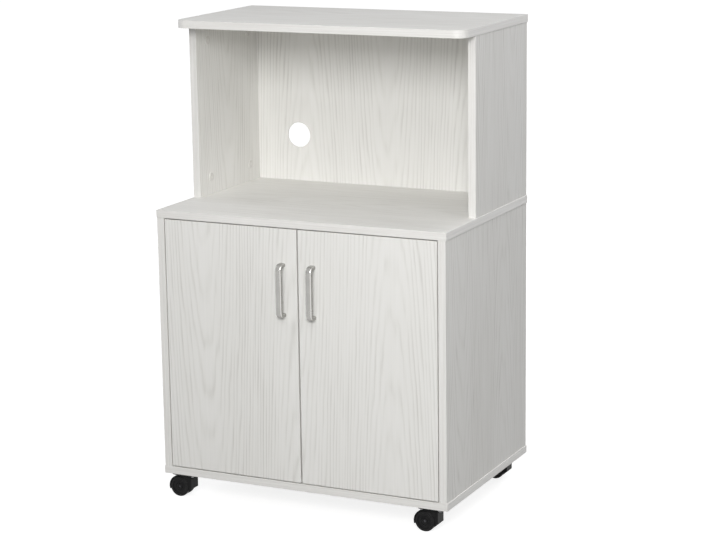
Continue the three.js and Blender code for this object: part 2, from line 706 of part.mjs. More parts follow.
const FINISHES = {
  board: { color: 0xdad9d5, roughness: 0.55, metalness: 0 },
  panel: { color: 0xdedcd8, roughness: 0.6, metalness: 0 },
  handle: { color: 0xb9bab8, roughness: 0.3, metalness: 1 },
  steel: { color: 0xa9abad, roughness: 0.35, metalness: 1 },
  black: { color: 0x1b1b1b, roughness: 0.5, metalness: 0 },
};

function piece(name, geometry, finish) {
  const material = new THREE.MeshStandardMaterial({ ...FINISHES[finish], flatShading: true });
  const mesh = new THREE.Mesh(geometry, material);
  mesh.name = name;
  return mesh;
}

/** A left piece and its mirror image; `rest` is what follows the side in their names. */
function sides(stem, geometry, finish, rest = '') {
  return [
    piece(`${stem}_left${rest}`, geometry, finish),
    piece(`${stem}_right${rest}`, mirrored(geometry), finish),
  ];
}

function hutch() {
  return new THREE.Group().add(
    piece('top_board', topBoard(), 'board'),
    ...sides('hutch_side', hutchUpright(), 'board'),
    piece('hutch_back', hutchBack(), 'panel'),
  );
}

function cabinet() {
  return new THREE.Group().add(
    piece('cabinet_top', cabinetTop(), 'board'),
    ...sides('cabinet_side', cabinetUpright(), 'board'),
    piece('cabinet_bottom', bottomBoard(), 'board'),
    piece('cabinet_back', backPanel(LOWER_FACE, CABINET_UNDER), 'panel'),
    piece('middle_shelf', shelf(), 'board'),
    ...Object.entries(SHELF_PIN_Y).flatMap(
      ([end, y]) => sides('shelf_pin', shelfPin(y), 'steel', `_${end}`),
    ),
  );
}

function doors() {
  return new THREE.Group().add(
    ...sides('door', door(), 'board'),
    ...sides('handle', handle(), 'handle'),
    ...Object.entries(HANDLE_SCREW_Z).flatMap(([level, z]) => sides(
      'handle_screw', screw(HANDLE_SCREW, 'y', -1, BOARD, [HANDLE_X, z]), 'steel', `_${level}`,
    )),
    ...Object.entries(HINGE_LEVELS).flatMap(([level, z]) => [
      ...sides('hinge_cup', hingeCup(z), 'steel', `_${level}`),
      ...sides('hinge_link', hingeLink(z), 'steel', `_${level}`),
      ...sides('hinge_arm', hingeArm(z), 'steel', `_${level}`),
    ]),
  );
}

function caster({ name, x, y }) {
  const group = new THREE.Group().add(
    piece(`${name}_mount`, casterMount(), 'black'),
    piece(`${name}_hood`, casterHood(), 'black'),
    piece(`${name}_axle`, casterAxle(), 'steel'),
    piece(`${name}_wheel_a`, casterWheel(-1), 'black'),
    piece(`${name}_wheel_b`, casterWheel(1), 'black'),
  );
  group.position.set(x, y, 0);
  return group;
}

const cart = new THREE.Group();
cart.name = 'microwave_cart';
cart.position.set(0, FRONT_Y, CASTER_HEIGHT);
cart.add(hutch(), cabinet(), doors(), ...CASTERS.map(caster));

export default cart;
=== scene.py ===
"""The look of a rolling microwave cart in white wood-grain board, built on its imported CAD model.

Every place comes from the frame's nodes. Sizes of pieces that the frame doesn't hold are named in
millimetres and turned into metres once, with MM.
"""

import logging
import math
from dataclasses import dataclass, field
from enum import Enum
from typing import Iterable, Optional, Union

import bmesh
import bpy
from bmesh.types import BMEdge, BMesh, BMFace, BMVert
from bpy.types import ID, Material, Mesh, Node, NodeSocket, NodeTree, Object
from mathutils import Matrix, Vector

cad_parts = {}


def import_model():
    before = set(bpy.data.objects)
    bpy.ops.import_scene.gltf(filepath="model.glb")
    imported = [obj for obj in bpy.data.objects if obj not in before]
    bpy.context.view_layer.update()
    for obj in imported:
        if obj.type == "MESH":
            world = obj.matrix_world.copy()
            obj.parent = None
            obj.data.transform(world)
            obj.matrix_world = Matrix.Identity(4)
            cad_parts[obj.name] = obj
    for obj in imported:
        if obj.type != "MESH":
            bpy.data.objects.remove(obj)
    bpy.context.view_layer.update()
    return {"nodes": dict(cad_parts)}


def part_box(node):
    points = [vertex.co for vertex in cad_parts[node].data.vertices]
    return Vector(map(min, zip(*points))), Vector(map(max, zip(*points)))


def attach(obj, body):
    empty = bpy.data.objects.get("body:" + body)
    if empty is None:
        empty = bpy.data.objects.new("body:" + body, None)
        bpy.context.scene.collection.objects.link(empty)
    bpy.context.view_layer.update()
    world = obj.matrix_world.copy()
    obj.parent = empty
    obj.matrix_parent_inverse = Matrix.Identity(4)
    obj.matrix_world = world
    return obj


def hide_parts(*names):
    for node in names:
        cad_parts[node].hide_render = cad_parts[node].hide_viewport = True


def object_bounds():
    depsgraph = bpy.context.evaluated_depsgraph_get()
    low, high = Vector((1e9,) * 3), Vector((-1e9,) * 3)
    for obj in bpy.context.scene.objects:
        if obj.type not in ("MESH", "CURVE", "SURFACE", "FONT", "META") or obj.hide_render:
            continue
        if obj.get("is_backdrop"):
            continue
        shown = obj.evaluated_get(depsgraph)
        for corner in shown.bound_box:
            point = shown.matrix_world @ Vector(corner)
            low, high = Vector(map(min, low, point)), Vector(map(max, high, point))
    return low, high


MM = 0.001
TINY = 0.02 * MM  # two points closer than this are one
MERGE = 0.001 * MM  # vertices of a mesh closer than this are merged
FLAT = math.radians(0.5)  # faces turned less than this from each other are one
SHARP = math.radians(35)  # an edge sharper than this stays a hard line in the shading
CORNER = math.radians(50)  # an outward edge sharper than this is rounded
SQUARE = math.radians(60)  # an edge sharper than this can be a board's arris
CAM_COVER = 1 * MM  # how far the CAD model's cam covers stand out of an upright

log = logging.getLogger("microwave_cart")

Input = Union[float, tuple, Node, NodeSocket]


class Axis(Enum):
    """A direction of the row frame, by its place in a vector."""

    X = 0
    Y = 1
    Z = 2


class Side(Enum):
    """The left or right half of the cart, with the sign of its x."""

    LEFT = -1
    RIGHT = 1

    @property
    def word(self) -> str:
        """The side's word in the nodes' names."""
        return self.name.lower()


class End(Enum):
    """The front or rear pair of casters, with the sign of its y."""

    FRONT = -1
    REAR = 1

    @property
    def word(self) -> str:
        """The end's word in the nodes' names."""
        return self.name.lower()


# ---- Colour and shader helpers ---------------------------------------------------------------


def to_linear(code: str) -> tuple:
    """Turns an sRGB colour into the linear one that shaders work with.

    Args:
        code: The colour as #rrggbb.

    Returns:
        Red, green, blue and an alpha of 1.
    """
    channels = [int(code[i : i + 2], 16) / 255 for i in (1, 3, 5)]
    linear = [c / 12.92 if c <= 0.04045 else ((c + 0.055) / 1.055) ** 2.4 for c in channels]
    return (*linear, 1.0)


class Shader:
    """One material's node tree, and the one way in which nodes are added to it."""

    def __init__(self, name: str) -> None:
        self.material = bpy.data.materials.new(name)
        self.material.use_nodes = True
        self.tree = self.material.node_tree
        self.surface = self.tree.nodes["Principled BSDF"]

    def feed(self, socket: NodeSocket, value: Input) -> None:
        """Links an output to a socket, or writes a constant on it.

        Args:
            socket: The input to fill.
            value: A node, whose first output is used, an output socket or a constant.
        """
        if isinstance(value, Node):
            value = value.outputs[0]
        if isinstance(value, NodeSocket):
            self.tree.links.new(value, socket)
        else:
            socket.default_value = value

    def add(self, kind: str, inputs: dict, **settings: object) -> Node:
        """Adds a node.

        Args:
            kind: The node's type, without the ShaderNode before it.
            inputs: What each input gets, by the input's name or number.
            settings: The node's own properties.

        Returns:
            The new node.
        """
        node = self.tree.nodes.new("ShaderNode" + kind)
        for name, value in settings.items():
            setattr(node, name, value)
        for name, value in inputs.items():
            self.feed(node.inputs[name], value)
        return node

    def math(self, operation: str, *values: Input) -> Node:
        """Adds a Math node.

        Args:
            operation: The node's operation.
            values: Its one, two or three inputs.

        Returns:
            The new node.
        """
        return self.add("Math", dict(enumerate(values)), operation=operation)

    def shift(self, value: Input, low: float, high: float) -> Node:
        """Spreads a value from 0 to 1 over another range.

        Args:
            value: The value.
            low: What 0 becomes.
            high: What 1 becomes.

        Returns:
            The new node.
        """
        return self.math("MULTIPLY_ADD", value, high - low, low)

    def blend(self, first: Input, second: Input, share: float) -> Node:
        """Mixes two values.

        Args:
            first: One value.
            second: The other value.
            share: The first one's share, from 0 to 1.

        Returns:
            The new node.
        """
        return self.math("MULTIPLY_ADD", first, share, self.math("MULTIPLY", second, 1 - share))

    def place(self) -> NodeSocket:
        """The point's place on the piece, in metres."""
        return self.add("TexCoord", {}).outputs["Object"]

    def grain(self) -> NodeSocket:
        """The point's place in the board's grain."""
        return self.add("Attribute", {}, attribute_name=GRAIN).outputs["Vector"]

    def noise(self, vector: Input, scale: tuple, detail: float = 2.0) -> Node:
        """Adds a noise stretched along the axes.

        Args:
            vector: Where it is looked up, in metres.
            scale: How many of its features fit in a metre along each axis.
            detail: Its octaves.

        Returns:
            The noise node, whose first output runs from 0 to 1.
        """
        stretched = self.add("VectorMath", {0: vector, 1: scale}, operation="MULTIPLY")
        return self.add("TexNoise", {"Vector": stretched, "Scale": 1.0, "Detail": detail})

    def ramp(self, value: Input, *stops: tuple) -> Node:
        """Adds a colour ramp.

        Args:
            value: Where on the ramp.
            stops: Pairs of a place from 0 to 1 and an sRGB colour as #rrggbb.

        Returns:
            The new node.
        """
        node = self.add("ValToRGB", {0: value})
        elements = node.color_ramp.elements
        while len(elements) < len(stops):
            elements.new(0.5)
        for element, (place, code) in zip(elements, stops):
            element.position = place
            element.color = to_linear(code)
        return node

    def finish(
        self, height: Optional[Input] = None, depth: float = 0.0, **surface: Input
    ) -> Material:
        """Fills the surface shader.

        Args:
            height: A relief from 0 to 1, or None.
            depth: How deep the relief is, in metres.
            surface: The surface's inputs by name, with _ for each space.

        Returns:
            The finished material.
        """
        for name, value in surface.items():
            self.feed(self.surface.inputs[name.replace("_", " ")], value)
        if height is not None:
            bump = self.add("Bump", {"Height": height, "Distance": depth, "Strength": 1.0})
            self.feed(self.surface.inputs["Normal"], bump)
        return self.material


def background_rays(tree: NodeTree) -> NodeSocket:
    """Tells the rays that show the background from those that light the cart.

    Args:
        tree: The material's or the world's node tree.

    Returns:
        An output that is 1 for camera, glossy and transmission rays and 0 for the rest.
    """
    path = tree.nodes.new("ShaderNodeLightPath")
    seen = path.outputs["Is Camera Ray"]
    for ray in ("Is Glossy Ray", "Is Transmission Ray"):
        either = tree.nodes.new("ShaderNodeMath")
        either.operation = "MAXIMUM"
        tree.links.new(seen, either.inputs[0])
        tree.links.new(path.outputs[ray], either.inputs[1])
        seen = either.outputs[0]
    return seen


# ---- Finishes --------------------------------------------------------------------------------

GRAIN = "grain"  # corner attribute: metres across and along the grain, and the board's number


@dataclass(frozen=True)
class WoodGrainMelamine:
    """Decor paper in resin on chipboard: printed pale wood grain under a satin film.

    The print is flat-sawn veneer, so each leaf has nested pointed arches along its heart and thin
    stripes beside it. It gives the eye a nearly white face with quiet grey-beige lines.
    """

    name: str
    light: str = "#e9e8e5"
    mid: str = "#e2e1dd"
    dark: str = "#cbc9c4"
    leaf: float = 205 * MM  # width of one leaf of veneer
    stripe: float = 5.4 * MM  # from ring to ring
    heart: float = 58 * MM  # depth of the cut below the tree's heart, at the board's middle
    taper: float = 0.052  # how that depth grows along the board
    wander: float = 4 * MM  # how far the rings stray
    bunching: float = 9.0  # how unevenly the rings are spaced, in radians
    crispness: float = 2.2  # above 1, a ring's dark line is narrower than the pale wood between
    patchiness: tuple = (-0.5, 1.75)  # strength of the rings where they fade and where they show
    quiet: float = 45 * MM  # half the width of a leaf's pale middle
    faint: float = 0.5  # strength of the rings in the midst of it
    rings: float = 0.5  # share of the rings in the pattern
    contrast: float = 0.85  # of the pattern
    cloudiness: float = 0.35  # of the broad pale and dark areas
    stops: tuple = (0.25, 0.52, 0.95)  # where the pattern is light, mid and dark
    roughness: tuple = (0.60, 0.72)
    gloss: float = 0.34
    relief: float = 0.02 * MM
    # Noises, as features in a metre across the grain, along it and from board to board:
    strays: tuple = (14.0, 5.5, 31.0)
    bunches: tuple = (60.0, 1.5, 23.0)
    patches: tuple = (80.0, 7.0, 17.0)
    streaks: tuple = (260.0, 3.2, 11.0)
    pores: tuple = (1400.0, 38.0, 7.0)
    clouds: tuple = (7.0, 2.2, 3.0)

    def build(self) -> Material:
        """Builds the material.

        Returns:
            The material, which reads the grain attribute.
        """
        shader = Shader(self.name)
        grain = shader.grain()
        parts = shader.add("SeparateXYZ", {0: grain})
        across, along = parts.outputs[0], parts.outputs[1]
        leaf = shader.math("ROUND", shader.math("DIVIDE", across, self.leaf))
        beside = shader.math("SUBTRACT", across, shader.math("MULTIPLY", leaf, self.leaf))
        turn = shader.shift(shader.math("PINGPONG", leaf, 1.0), 1.0, -1.0)
        height = shader.math("MULTIPLY", along, turn)
        stray = shader.noise(grain, self.strays, detail=3.0)
        depth = shader.math("MULTIPLY_ADD", height, self.taper, self.heart)
        waved = shader.math("ADD", depth, shader.shift(stray, -self.wander, self.wander))
        point = shader.add("CombineXYZ", {"X": beside, "Y": waved})
        ring = shader.add("VectorMath", {0: point}, operation="LENGTH").outputs["Value"]
        even = shader.math("MULTIPLY", ring, math.tau / self.stripe)
        bunches = shader.noise(grain, self.bunches)
        phase = shader.math("MULTIPLY_ADD", bunches, self.bunching, even)
        wave = shader.shift(shader.math("SINE", phase), 0.5, 1.0)
        lines = shader.math("POWER", wave, self.crispness)
        patches = shader.noise(grain, self.patches, detail=3.0)
        broken = shader.math("MULTIPLY", lines, shader.shift(patches, *self.patchiness))
        clear = shader.add(
            "MapRange",
            {"Value": shader.math("ABSOLUTE", beside), 2: self.quiet, 3: self.faint, 4: 1.0},
        )
        figure = shader.math("MULTIPLY", broken, clear)
        streaks = shader.noise(grain, self.streaks, detail=5.0)
        pores = shader.noise(grain, self.pores)
        streaky = shader.blend(streaks, pores, 0.75)
        mixed = shader.add("Mix", {0: self.rings, 2: streaky, 3: figure}, data_type="FLOAT")
        pattern = shader.math("MULTIPLY", mixed, self.contrast)
        clouds = shader.noise(grain, self.clouds)
        toned = shader.math("MULTIPLY_ADD", clouds, self.cloudiness, pattern)
        return shader.finish(
            shader.blend(pores, figure, 0.75),
            self.relief,
            Base_Color=shader.ramp(toned, *zip(self.stops, (self.light, self.mid, self.dark))),
            Roughness=shader.shift(streaky, *self.roughness),
            Specular_IOR_Level=self.gloss,
        )


@dataclass(frozen=True)
class EdgeBand:
    """Edge banding: a thin printed strip glued on the board's sawn edge.

    Plainer and a little lighter than the faces, with stripes along its length.
    """

    name: str
    light: str = "#e9e8e5"
    dark: str = "#d8d6d2"
    streaks: tuple = (420.0, 4.5, 13.0)  # features in a metre, as in the faces' grain
    flecks: tuple = (2100.0, 60.0, 5.0)
    roughness: tuple = (0.36, 0.5)
    relief: float = 0.02 * MM

    def build(self) -> Material:
        """Builds the material.

        Returns:
            The material, which reads the grain attribute.
        """
        shader = Shader(self.name)
        grain = shader.grain()
        streaks = shader.noise(grain, self.streaks, detail=4.0)
        flecks = shader.noise(grain, self.flecks)
        tone = shader.blend(streaks, flecks, 0.7)
        colour = shader.ramp(tone, (0.3, self.light), (0.75, self.dark))
        rough = shader.shift(streaks, *self.roughness)
        return shader.finish(flecks, self.relief, Base_Color=colour, Roughness=rough)


@dataclass(frozen=True)
class Hardboard:
    """The back of thin hardboard: pressed brown fibres with the mesh mark of the press.

    It gives the eye a plain matt tan sheet, darker in flecks.
    """

    name: str
    light: str = "#b59a76"
    dark: str = "#957a57"
    mesh: float = 1.6 * MM  # from mark to mark
    unevenness: float = 0.25  # how far the marks stray from a regular mesh, from 0 to 1
    fibres: tuple = (900.0,) * 3  # features in a metre along each axis
    blotches: tuple = (140.0,) * 3
    roughness: tuple = (0.72, 0.9)
    relief: float = 0.12 * MM

    def build(self) -> Material:
        """Builds the material.

        Returns:
            The material, in the object's own coordinates.
        """
        shader = Shader(self.name)
        place = shader.place()
        fibres = shader.noise(place, self.fibres, detail=4.0)
        blotches = shader.noise(place, self.blotches, detail=4.0)
        marks = shader.add(
            "TexVoronoi", {"Vector": place, "Scale": 1 / self.mesh, "Randomness": self.unevenness}
        ).outputs["Distance"]
        tone = shader.blend(fibres, blotches, 0.55)
        colour = shader.ramp(tone, (0.32, self.dark), (0.68, self.light))
        rough = shader.shift(fibres, *self.roughness)
        return shader.finish(marks, self.relief, Base_Color=colour, Roughness=rough)


@dataclass(frozen=True)
class PlatedMetal:
    """Nickel or zinc plate on die-cast or pressed metal, brushed or left as pressed.

    It gives the eye a grey metal whose highlights spread along the brushing.
    """

    name: str
    light: str
    dark: str
    roughness: float
    brushed: tuple = (900.0, 900.0, 25.0)  # features in a metre along each axis
    smudged: tuple = (60.0,) * 3
    spread: tuple = (-0.05, 0.07)  # how far the smudges move the roughness
    relief: float = 0.01 * MM

    def build(self) -> Material:
        """Builds the material.

        Returns:
            The material, in the object's own coordinates.
        """
        shader = Shader(self.name)
        place = shader.place()
        lines = shader.noise(place, self.brushed, detail=3.0)
        smudges = shader.noise(place, self.smudged)
        tone = shader.blend(lines, smudges, 0.6)
        colour = shader.ramp(tone, (0.3, self.dark), (0.7, self.light))
        rough = shader.shift(smudges, *(self.roughness + change for change in self.spread))
        return shader.finish(lines, self.relief, Base_Color=colour, Metallic=1.0, Roughness=rough)


@dataclass(frozen=True)
class MouldedPlastic:
    """Injection-moulded plastic with the fine sparkle of an etched mould.

    It gives the eye an even colour whose highlights break up, and dust-grey scuffs where it wears.
    """

    name: str
    colour: str
    scuff: str
    roughness: float
    etch: float = 0.5 * MM  # from grain to grain
    depth: float = 0.03 * MM
    wear: float = 0.12  # how much of the surface the scuffs touch
    gloss: float = 0.5
    scuffs: tuple = (130.0,) * 3  # features in a metre along each axis
    spread: tuple = (-0.06, 0.08)  # how far the etching moves the roughness

    def build(self) -> Material:
        """Builds the material.

        Returns:
            The material, in the object's own coordinates.
        """
        shader = Shader(self.name)
        place = shader.place()
        etch = shader.noise(place, (1 / self.etch,) * 3)
        scuffs = shader.noise(place, self.scuffs, detail=5.0)
        worn = shader.ramp(scuffs, (0.62 - self.wear, "#000000"), (0.9, "#ffffff"))
        colour = shader.add(
            "Mix",
            {"Factor": worn, 6: to_linear(self.colour), 7: to_linear(self.scuff)},
            data_type="RGBA",
        ).outputs[2]
        rough = shader.shift(etch, *(self.roughness + change for change in self.spread))
        return shader.finish(
            etch, self.depth, Base_Color=colour, Roughness=rough, Specular_IOR_Level=self.gloss
        )


@dataclass(frozen=True)
class StudioFloor:
    """The sweep of paper under the cart: white to the eye, with the cart's soft shadow on it."""

    name: str
    paper: str = "#a4a4a3"
    fibre: str = "#a0a09f"
    lift: float = 0.84  # light added to the view alone, so the paper reads as the background
    far_lift: float = 1.0  # the same where the paper is far from the cart and its shadow
    near: float = 1.2  # metres from the cart at which the one starts to turn into the other
    far: float = 4.0

    def build(self) -> Material:
        """Builds the material.

        Returns:
            The material.
        """
        shader = Shader(self.name)
        place = shader.place()
        fibres = shader.noise(place, (300.0,) * 3)
        colour = shader.ramp(fibres, (0.3, self.fibre), (0.7, self.paper))
        shader.finish(Base_Color=colour, Roughness=0.9, Specular_IOR_Level=0.0)
        distance = shader.add("VectorMath", {0: place}, operation="LENGTH").outputs["Value"]
        lift = shader.add(
            "MapRange",
            {"Value": distance, 1: self.near, 2: self.far, 3: self.lift, 4: self.far_lift},
        )
        seen = background_rays(shader.tree)
        glow = shader.add("Emission", {"Strength": shader.math("MULTIPLY", seen, lift)})
        both = shader.add("AddShader", {0: shader.surface, 1: glow})
        shader.feed(shader.tree.nodes["Material Output"].inputs["Surface"], both)
        return shader.material


class Finishes:
    """Every material of the cart, built once."""

    def __init__(self) -> None:
        self.face = WoodGrainMelamine("melamine_wood_grain").build()
        self.band = EdgeBand("melamine_edge_band").build()
        self.panel = WoodGrainMelamine(
            "hardboard_printed_face", "#edece9", "#e6e5e1", "#d1cfcb", leaf=185 * MM
        ).build()
        self.hardboard = Hardboard("hardboard_raw_back").build()
        self.nickel = PlatedMetal("nickel_brushed", "#adaca9", "#9e9d9a", 0.24).build()
        # Polished nickel for the handles' sideways corners: smoother than the brushed faces, and
        # lighter in colour as a painted highlight
        self.bright = PlatedMetal("nickel_polished", "#cdccc9", "#bfbebb", 0.18).build()
        self.zinc = PlatedMetal(
            "zinc_plated_steel", "#c3c4c6", "#a5a6a9", 0.34, (240.0, 240.0, 240.0)
        ).build()
        self.axle = PlatedMetal("axle_oiled_steel", "#5d5d60", "#3f3f42", 0.5).build()
        self.screw = PlatedMetal(
            "screw_zinc_plate", "#cfcfd0", "#b7b7ba", 0.27, (400.0, 400.0, 400.0)
        ).build()
        self.cap = MouldedPlastic(
            "cap_white_plastic", "#dad8d4", "#c4c1bc", 0.38, wear=0.05
        ).build()
        self.hood = MouldedPlastic(
            "caster_black_nylon", "#0d0d0e", "#191919", 0.46, gloss=0.14
        ).build()
        self.wheel = MouldedPlastic(
            "wheel_black_nylon", "#0e0e0f", "#222221", 0.42, wear=0.2, gloss=0.16
        ).build()
        self.plate = MouldedPlastic(
            "plate_black_paint", "#0f0f10", "#242322", 0.4,
            etch=0.25 * MM, depth=0.01 * MM, gloss=0.2,
        ).build()


# ---- Mesh helpers ----------------------------------------------------------------------------


def in_scene(name: str, data: ID) -> Object:
    """Makes an object in the scene.

    Args:
        name: The object's name.
        data: Its mesh, light or camera.

    Returns:
        The new object.
    """
    made = bpy.data.objects.new(name, data)
    bpy.context.scene.collection.objects.link(made)
    return made


def picked(geometry: Iterable, kind: type) -> list:
    """Picks one kind, such as faces, out of what an operator made."""
    return [g for g in geometry if isinstance(g, kind)]


def as_object(name: str, bm: BMesh, *materials: Material) -> Object:
    """Turns a bmesh into an object in the scene, merged and with its normals outward.

    Args:
        name: The object's name.
        bm: The mesh, which is freed.
        materials: Its materials, in the order of their slots.

    Returns:
        The new object, at the origin.
    """
    bmesh.ops.remove_doubles(bm, verts=bm.verts, dist=MERGE)
    bmesh.ops.recalc_face_normals(bm, faces=bm.faces)
    mesh = bpy.data.meshes.new(name)
    bm.to_mesh(mesh)
    bm.free()
    for material in materials:
        mesh.materials.append(material)
    mesh.shade_smooth()
    mesh.set_sharp_from_angle(angle=SHARP)
    made = in_scene(name, mesh)
    made.modifiers.new("even_shading", "WEIGHTED_NORMAL").keep_sharp = True
    return made


def node_mesh(node: Object) -> BMesh:
    """Copies a CAD node's mesh, with its doubles merged and its flat faces whole.

    Args:
        node: The CAD node.

    Returns:
        The copy.
    """
    bm = bmesh.new()
    bm.from_mesh(node.data)
    bmesh.ops.remove_doubles(bm, verts=bm.verts, dist=MERGE)
    bmesh.ops.dissolve_limit(
        bm, angle_limit=FLAT, verts=bm.verts, edges=bm.edges, delimit={"NORMAL"}
    )
    return bm


def bevelled(bm: BMesh, edges: Iterable, width: float, segments: int = 2) -> None:
    """Rounds edges.

    Args:
        bm: The mesh.
        edges: Its edges to round.
        width: How far the rounding reaches from each edge, in metres.
        segments: Its facets.
    """
    bmesh.ops.bevel(
        bm,
        geom=list(edges),
        offset=width,
        segments=segments,
        profile=0.5,
        affect="EDGES",
        material=-1,
        clamp_overlap=True,
    )


def sharp_edges(bm: BMesh, shortest: float) -> list:
    """Finds outward corners of a mesh.

    Args:
        bm: The mesh.
        shortest: The least length of an edge, in metres.

    Returns:
        The edges.
    """
    outward = (e for e in bm.edges if e.is_manifold and e.is_convex)
    return [e for e in outward if e.calc_face_angle() > CORNER and e.calc_length() >= shortest]


@dataclass(frozen=True)
class PanHead:
    """The round pan head of a screw, with its cross recess."""

    seat: Vector  # middle of the face that it sits on
    facing: Vector  # the way its recess looks
    radius: float = 3.6 * MM
    height: float = 2.2 * MM
    sides: int = 36
    crown: float = 0.64  # radius of the flat top, as a share of the radius
    dome: tuple = ((0.82, 0.97), (0.95, 0.84), (1.02, 0.58), (1.04, 0.2), (1.04, 0.0))
    arm: float = 0.50  # half the recess's length, as a share of the radius
    slot: float = 0.13  # half the width of an arm, as a share of the radius
    draft: float = 0.02  # how much the recess narrows, as a share of the radius
    recess: float = 0.62  # depth, as a share of the height
    plain: float = 0.9  # the CAD model's plain head lies above this share of the height
    sunk: float = 0.25  # where it is lowered to, as a share of the height

    def press_down(self, bm: BMesh) -> None:
        """Lowers the plain head of the CAD model out of the way.

        Args:
            bm: The mesh that holds it.
        """
        for vert in bm.verts:
            out = vert.co - self.seat
            rise = out.dot(self.facing)
            if rise > self.plain * self.height and (out - rise * self.facing).length < self.radius:
                vert.co -= self.facing * (rise - self.sunk * self.height)

    def build(self, bm: BMesh, slot_number: int) -> None:
        """Adds the head to a mesh.

        Args:
            bm: The mesh.
            slot_number: The place of the head's material.
        """
        head = bmesh.new()
        corners = [(self.arm, -self.slot, 1), (self.arm, self.slot, 1), (self.slot, self.slot, 1)]
        turns = [Matrix.Rotation(i * math.pi / 2, 4, "Z") for i in range(4)]
        cross = head.faces.new([head.verts.new(t @ Vector(c)) for t in turns for c in corners])
        made = bmesh.ops.create_circle(
            head, segments=self.sides, radius=self.crown, matrix=Matrix.Translation((0, 0, 1))
        )
        ring = list({e for v in made["verts"] for e in v.link_edges})
        bmesh.ops.bridge_loops(head, edges=cross.edges[:] + ring)
        bmesh.ops.inset_region(head, faces=[cross], thickness=self.draft, depth=-self.recess)
        for reach, level in self.dome:
            out = bmesh.ops.extrude_edge_only(head, edges=ring)["geom"]
            ring = picked(out, BMEdge)
            for vert in picked(out, BMVert):
                vert.co.xy = vert.co.xy.normalized() * reach
                vert.co.z = level
        bmesh.ops.contextual_create(head, geom=ring)
        bmesh.ops.recalc_face_normals(head, faces=head.faces)
        for face in head.faces:
            face.material_index = slot_number
        aim = Vector((0, 0, 1)).rotation_difference(self.facing).to_matrix().to_4x4()
        size = Matrix.Diagonal((self.radius, self.radius, self.height, 1))
        mesh = bpy.data.meshes.new("pan_head")
        head.to_mesh(mesh)
        head.free()
        mesh.transform(Matrix.Translation(self.seat) @ aim @ size)
        bm.from_mesh(mesh)
        bpy.data.meshes.remove(mesh)


# ---- Sub-assemblies --------------------------------------------------------------------------


@dataclass
class SubAssembly:
    """A part of the cart that is dressed by itself."""

    nodes: dict
    finishes: Finishes
    pieces: list = field(default_factory=list)
    room: float = 4.0  # an edge is rounded if it is this many times as long as its rounding

    def inner_face(self, upright: str, side: Side) -> float:
        """The x of an upright's inner face, from which its cam covers stand out."""
        low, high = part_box(upright)
        return (high.x if side is Side.LEFT else low.x) + side.value * CAM_COVER

    def keep(self, piece: Object, body: str, slot: str, *replaced: str) -> Object:
        """Puts a finished piece on its body.

        Args:
            piece: The piece, in place.
            body: The CAD body that it moves with.
            slot: The material slot that it belongs to; not used.
            replaced: The CAD nodes that it stands for.

        Returns:
            The piece.
        """
        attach(piece, body)
        if replaced:
            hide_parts(*replaced)
        self.pieces.append(piece)
        return piece

    def dressed(
        self, node: str, body: str, slot: str, material: Material, round_off: float,
        heads: tuple = (),
    ) -> None:
        """Replaces a node by a copy with soft corners and round screw heads.

        Args:
            node: The CAD node.
            body: Its body.
            slot: Its material slot.
            material: The copy's material.
            round_off: How far its corners are rounded, in metres.
            heads: Its screws' heads.
        """
        bm = node_mesh(self.nodes[node])
        for head in heads:
            head.press_down(bm)
        bevelled(bm, sharp_edges(bm, self.room * round_off), round_off)
        for face in bm.faces:
            face.material_index = 0
        for head in heads:
            head.build(bm, 1)
        piece = as_object(node + "_dressed", bm, material, self.finishes.screw)
        self.keep(piece, body, slot, node)


@dataclass(frozen=True)
class Board:
    """How one board is dressed: its thickness, the way its grain runs and its veneer's figure."""

    node: str
    body: str
    thin: Axis  # across the board's thickness
    grain: Axis  # along its grain
    heart: float = 0.0  # from the board's middle to the heart of one leaf, in metres
    way: int = 1  # 1 where that leaf's arches point along the axis, -1 where they point back
    corner: float = 0.0  # radius of its two front corners, in metres
    slot: str = "board"
    back: bool = False  # True for a thin panel whose rear face is raw

    @property
    def across(self) -> Axis:
        """The axis in the board's plane that is square to the grain."""
        return next(a for a in Axis if a not in (self.thin, self.grain))


